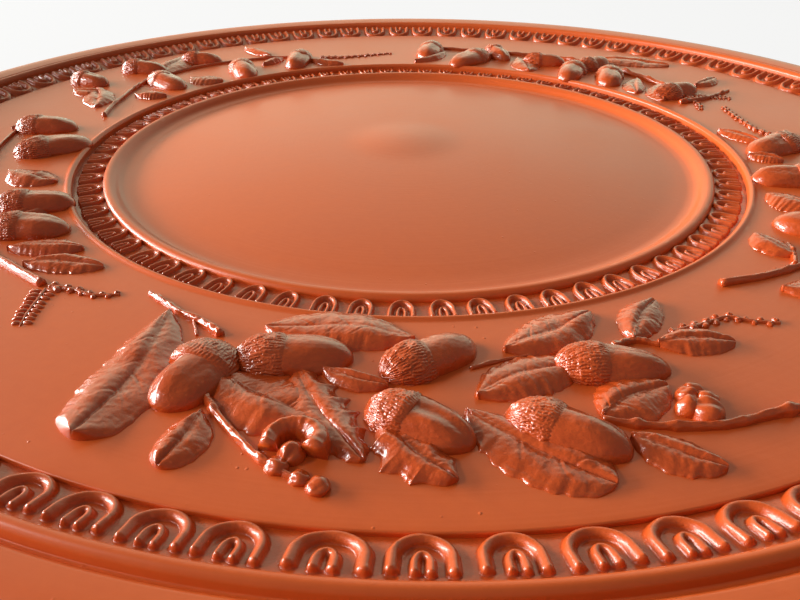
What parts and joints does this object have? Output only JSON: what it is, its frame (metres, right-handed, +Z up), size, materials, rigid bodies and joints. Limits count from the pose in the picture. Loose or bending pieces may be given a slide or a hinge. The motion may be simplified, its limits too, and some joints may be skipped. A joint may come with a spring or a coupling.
{
  "type": "relief decorated ceramic plate",
  "caption": "Large round red-slipped plate on a foot ring, with a smooth middle, two bands of stamped arches and applied oak sprigs on its broad rim.",
  "frame": {"origin": "centre of the foot ring's resting face", "axes": "+Z up out of the plate's middle, -Y towards the front sprig, +X to its right"},
  "size_m": [0.4, 0.4, 0.0288],
  "materials": {
    "body_slip": "gloss",
    "relief_slip": "gloss",
    "foot_clay": "satin"
  },
  "bodies": {
    "root": {"plate_body": "body_slip", "foot_ring": "foot_clay", "outer_ovolo_band": "relief_slip", "inner_ovolo_band": "relief_slip", "front_acorn_1": "relief_slip", "front_acorn_2": "relief_slip", "front_acorn_3": "relief_slip", "front_acorn_4": "relief_slip", "front_acorn_5": "relief_slip", "front_acorn_6": "relief_slip", "front_bud": "relief_slip", "front_gall": "relief_slip", "front_stem": "relief_slip", "front_left_twig": "relief_slip", "front_catkin": "relief_slip", "front_lower_twig": "relief_slip", "front_left_leaf": "relief_slip", "front_small_leaf": "relief_slip", "front_upper_leaf": "relief_slip", "front_middle_leaf": "relief_slip", "front_ridge_leaf": "relief_slip", "front_right_leaf": "relief_slip", "front_lower_leaf": "relief_slip", "front_end_leaf": "relief_slip", "left_acorn_1": "relief_slip", "left_acorn_2": "relief_slip", "left_acorn_3": "relief_slip", "left_stem": "relief_slip", "left_catkin": "relief_slip", "left_leaf_1": "relief_slip", "left_leaf_2": "relief_slip", "left_leaf_3": "relief_slip", "left_leaf_4": "relief_slip", "back_left_acorn_1": "relief_slip", "back_left_acorn_2": "relief_slip", "back_left_acorn_3": "relief_slip", "back_left_stem": "relief_slip", "back_left_catkin": "relief_slip", "back_left_leaf_1": "relief_slip", "back_left_leaf_2": "relief_slip", "back_left_leaf_3": "relief_slip", "back_left_leaf_4": "relief_slip", "back_right_acorn_1": "relief_slip", "back_right_acorn_2": "relief_slip", "back_right_acorn_3": "relief_slip", "back_right_stem": "relief_slip", "back_right_catkin": "relief_slip", "back_right_leaf_1": "relief_slip", "back_right_leaf_2": "relief_slip", "back_right_leaf_3": "relief_slip", "back_right_leaf_4": "relief_slip", "right_acorn_1": "relief_slip", "right_acorn_2": "relief_slip", "right_acorn_3": "relief_slip", "right_stem": "relief_slip", "right_catkin": "relief_slip", "right_leaf_1": "relief_slip", "right_leaf_2": "relief_slip", "right_leaf_3": "relief_slip", "right_leaf_4": "relief_slip"}
  },
  "joints": []
}
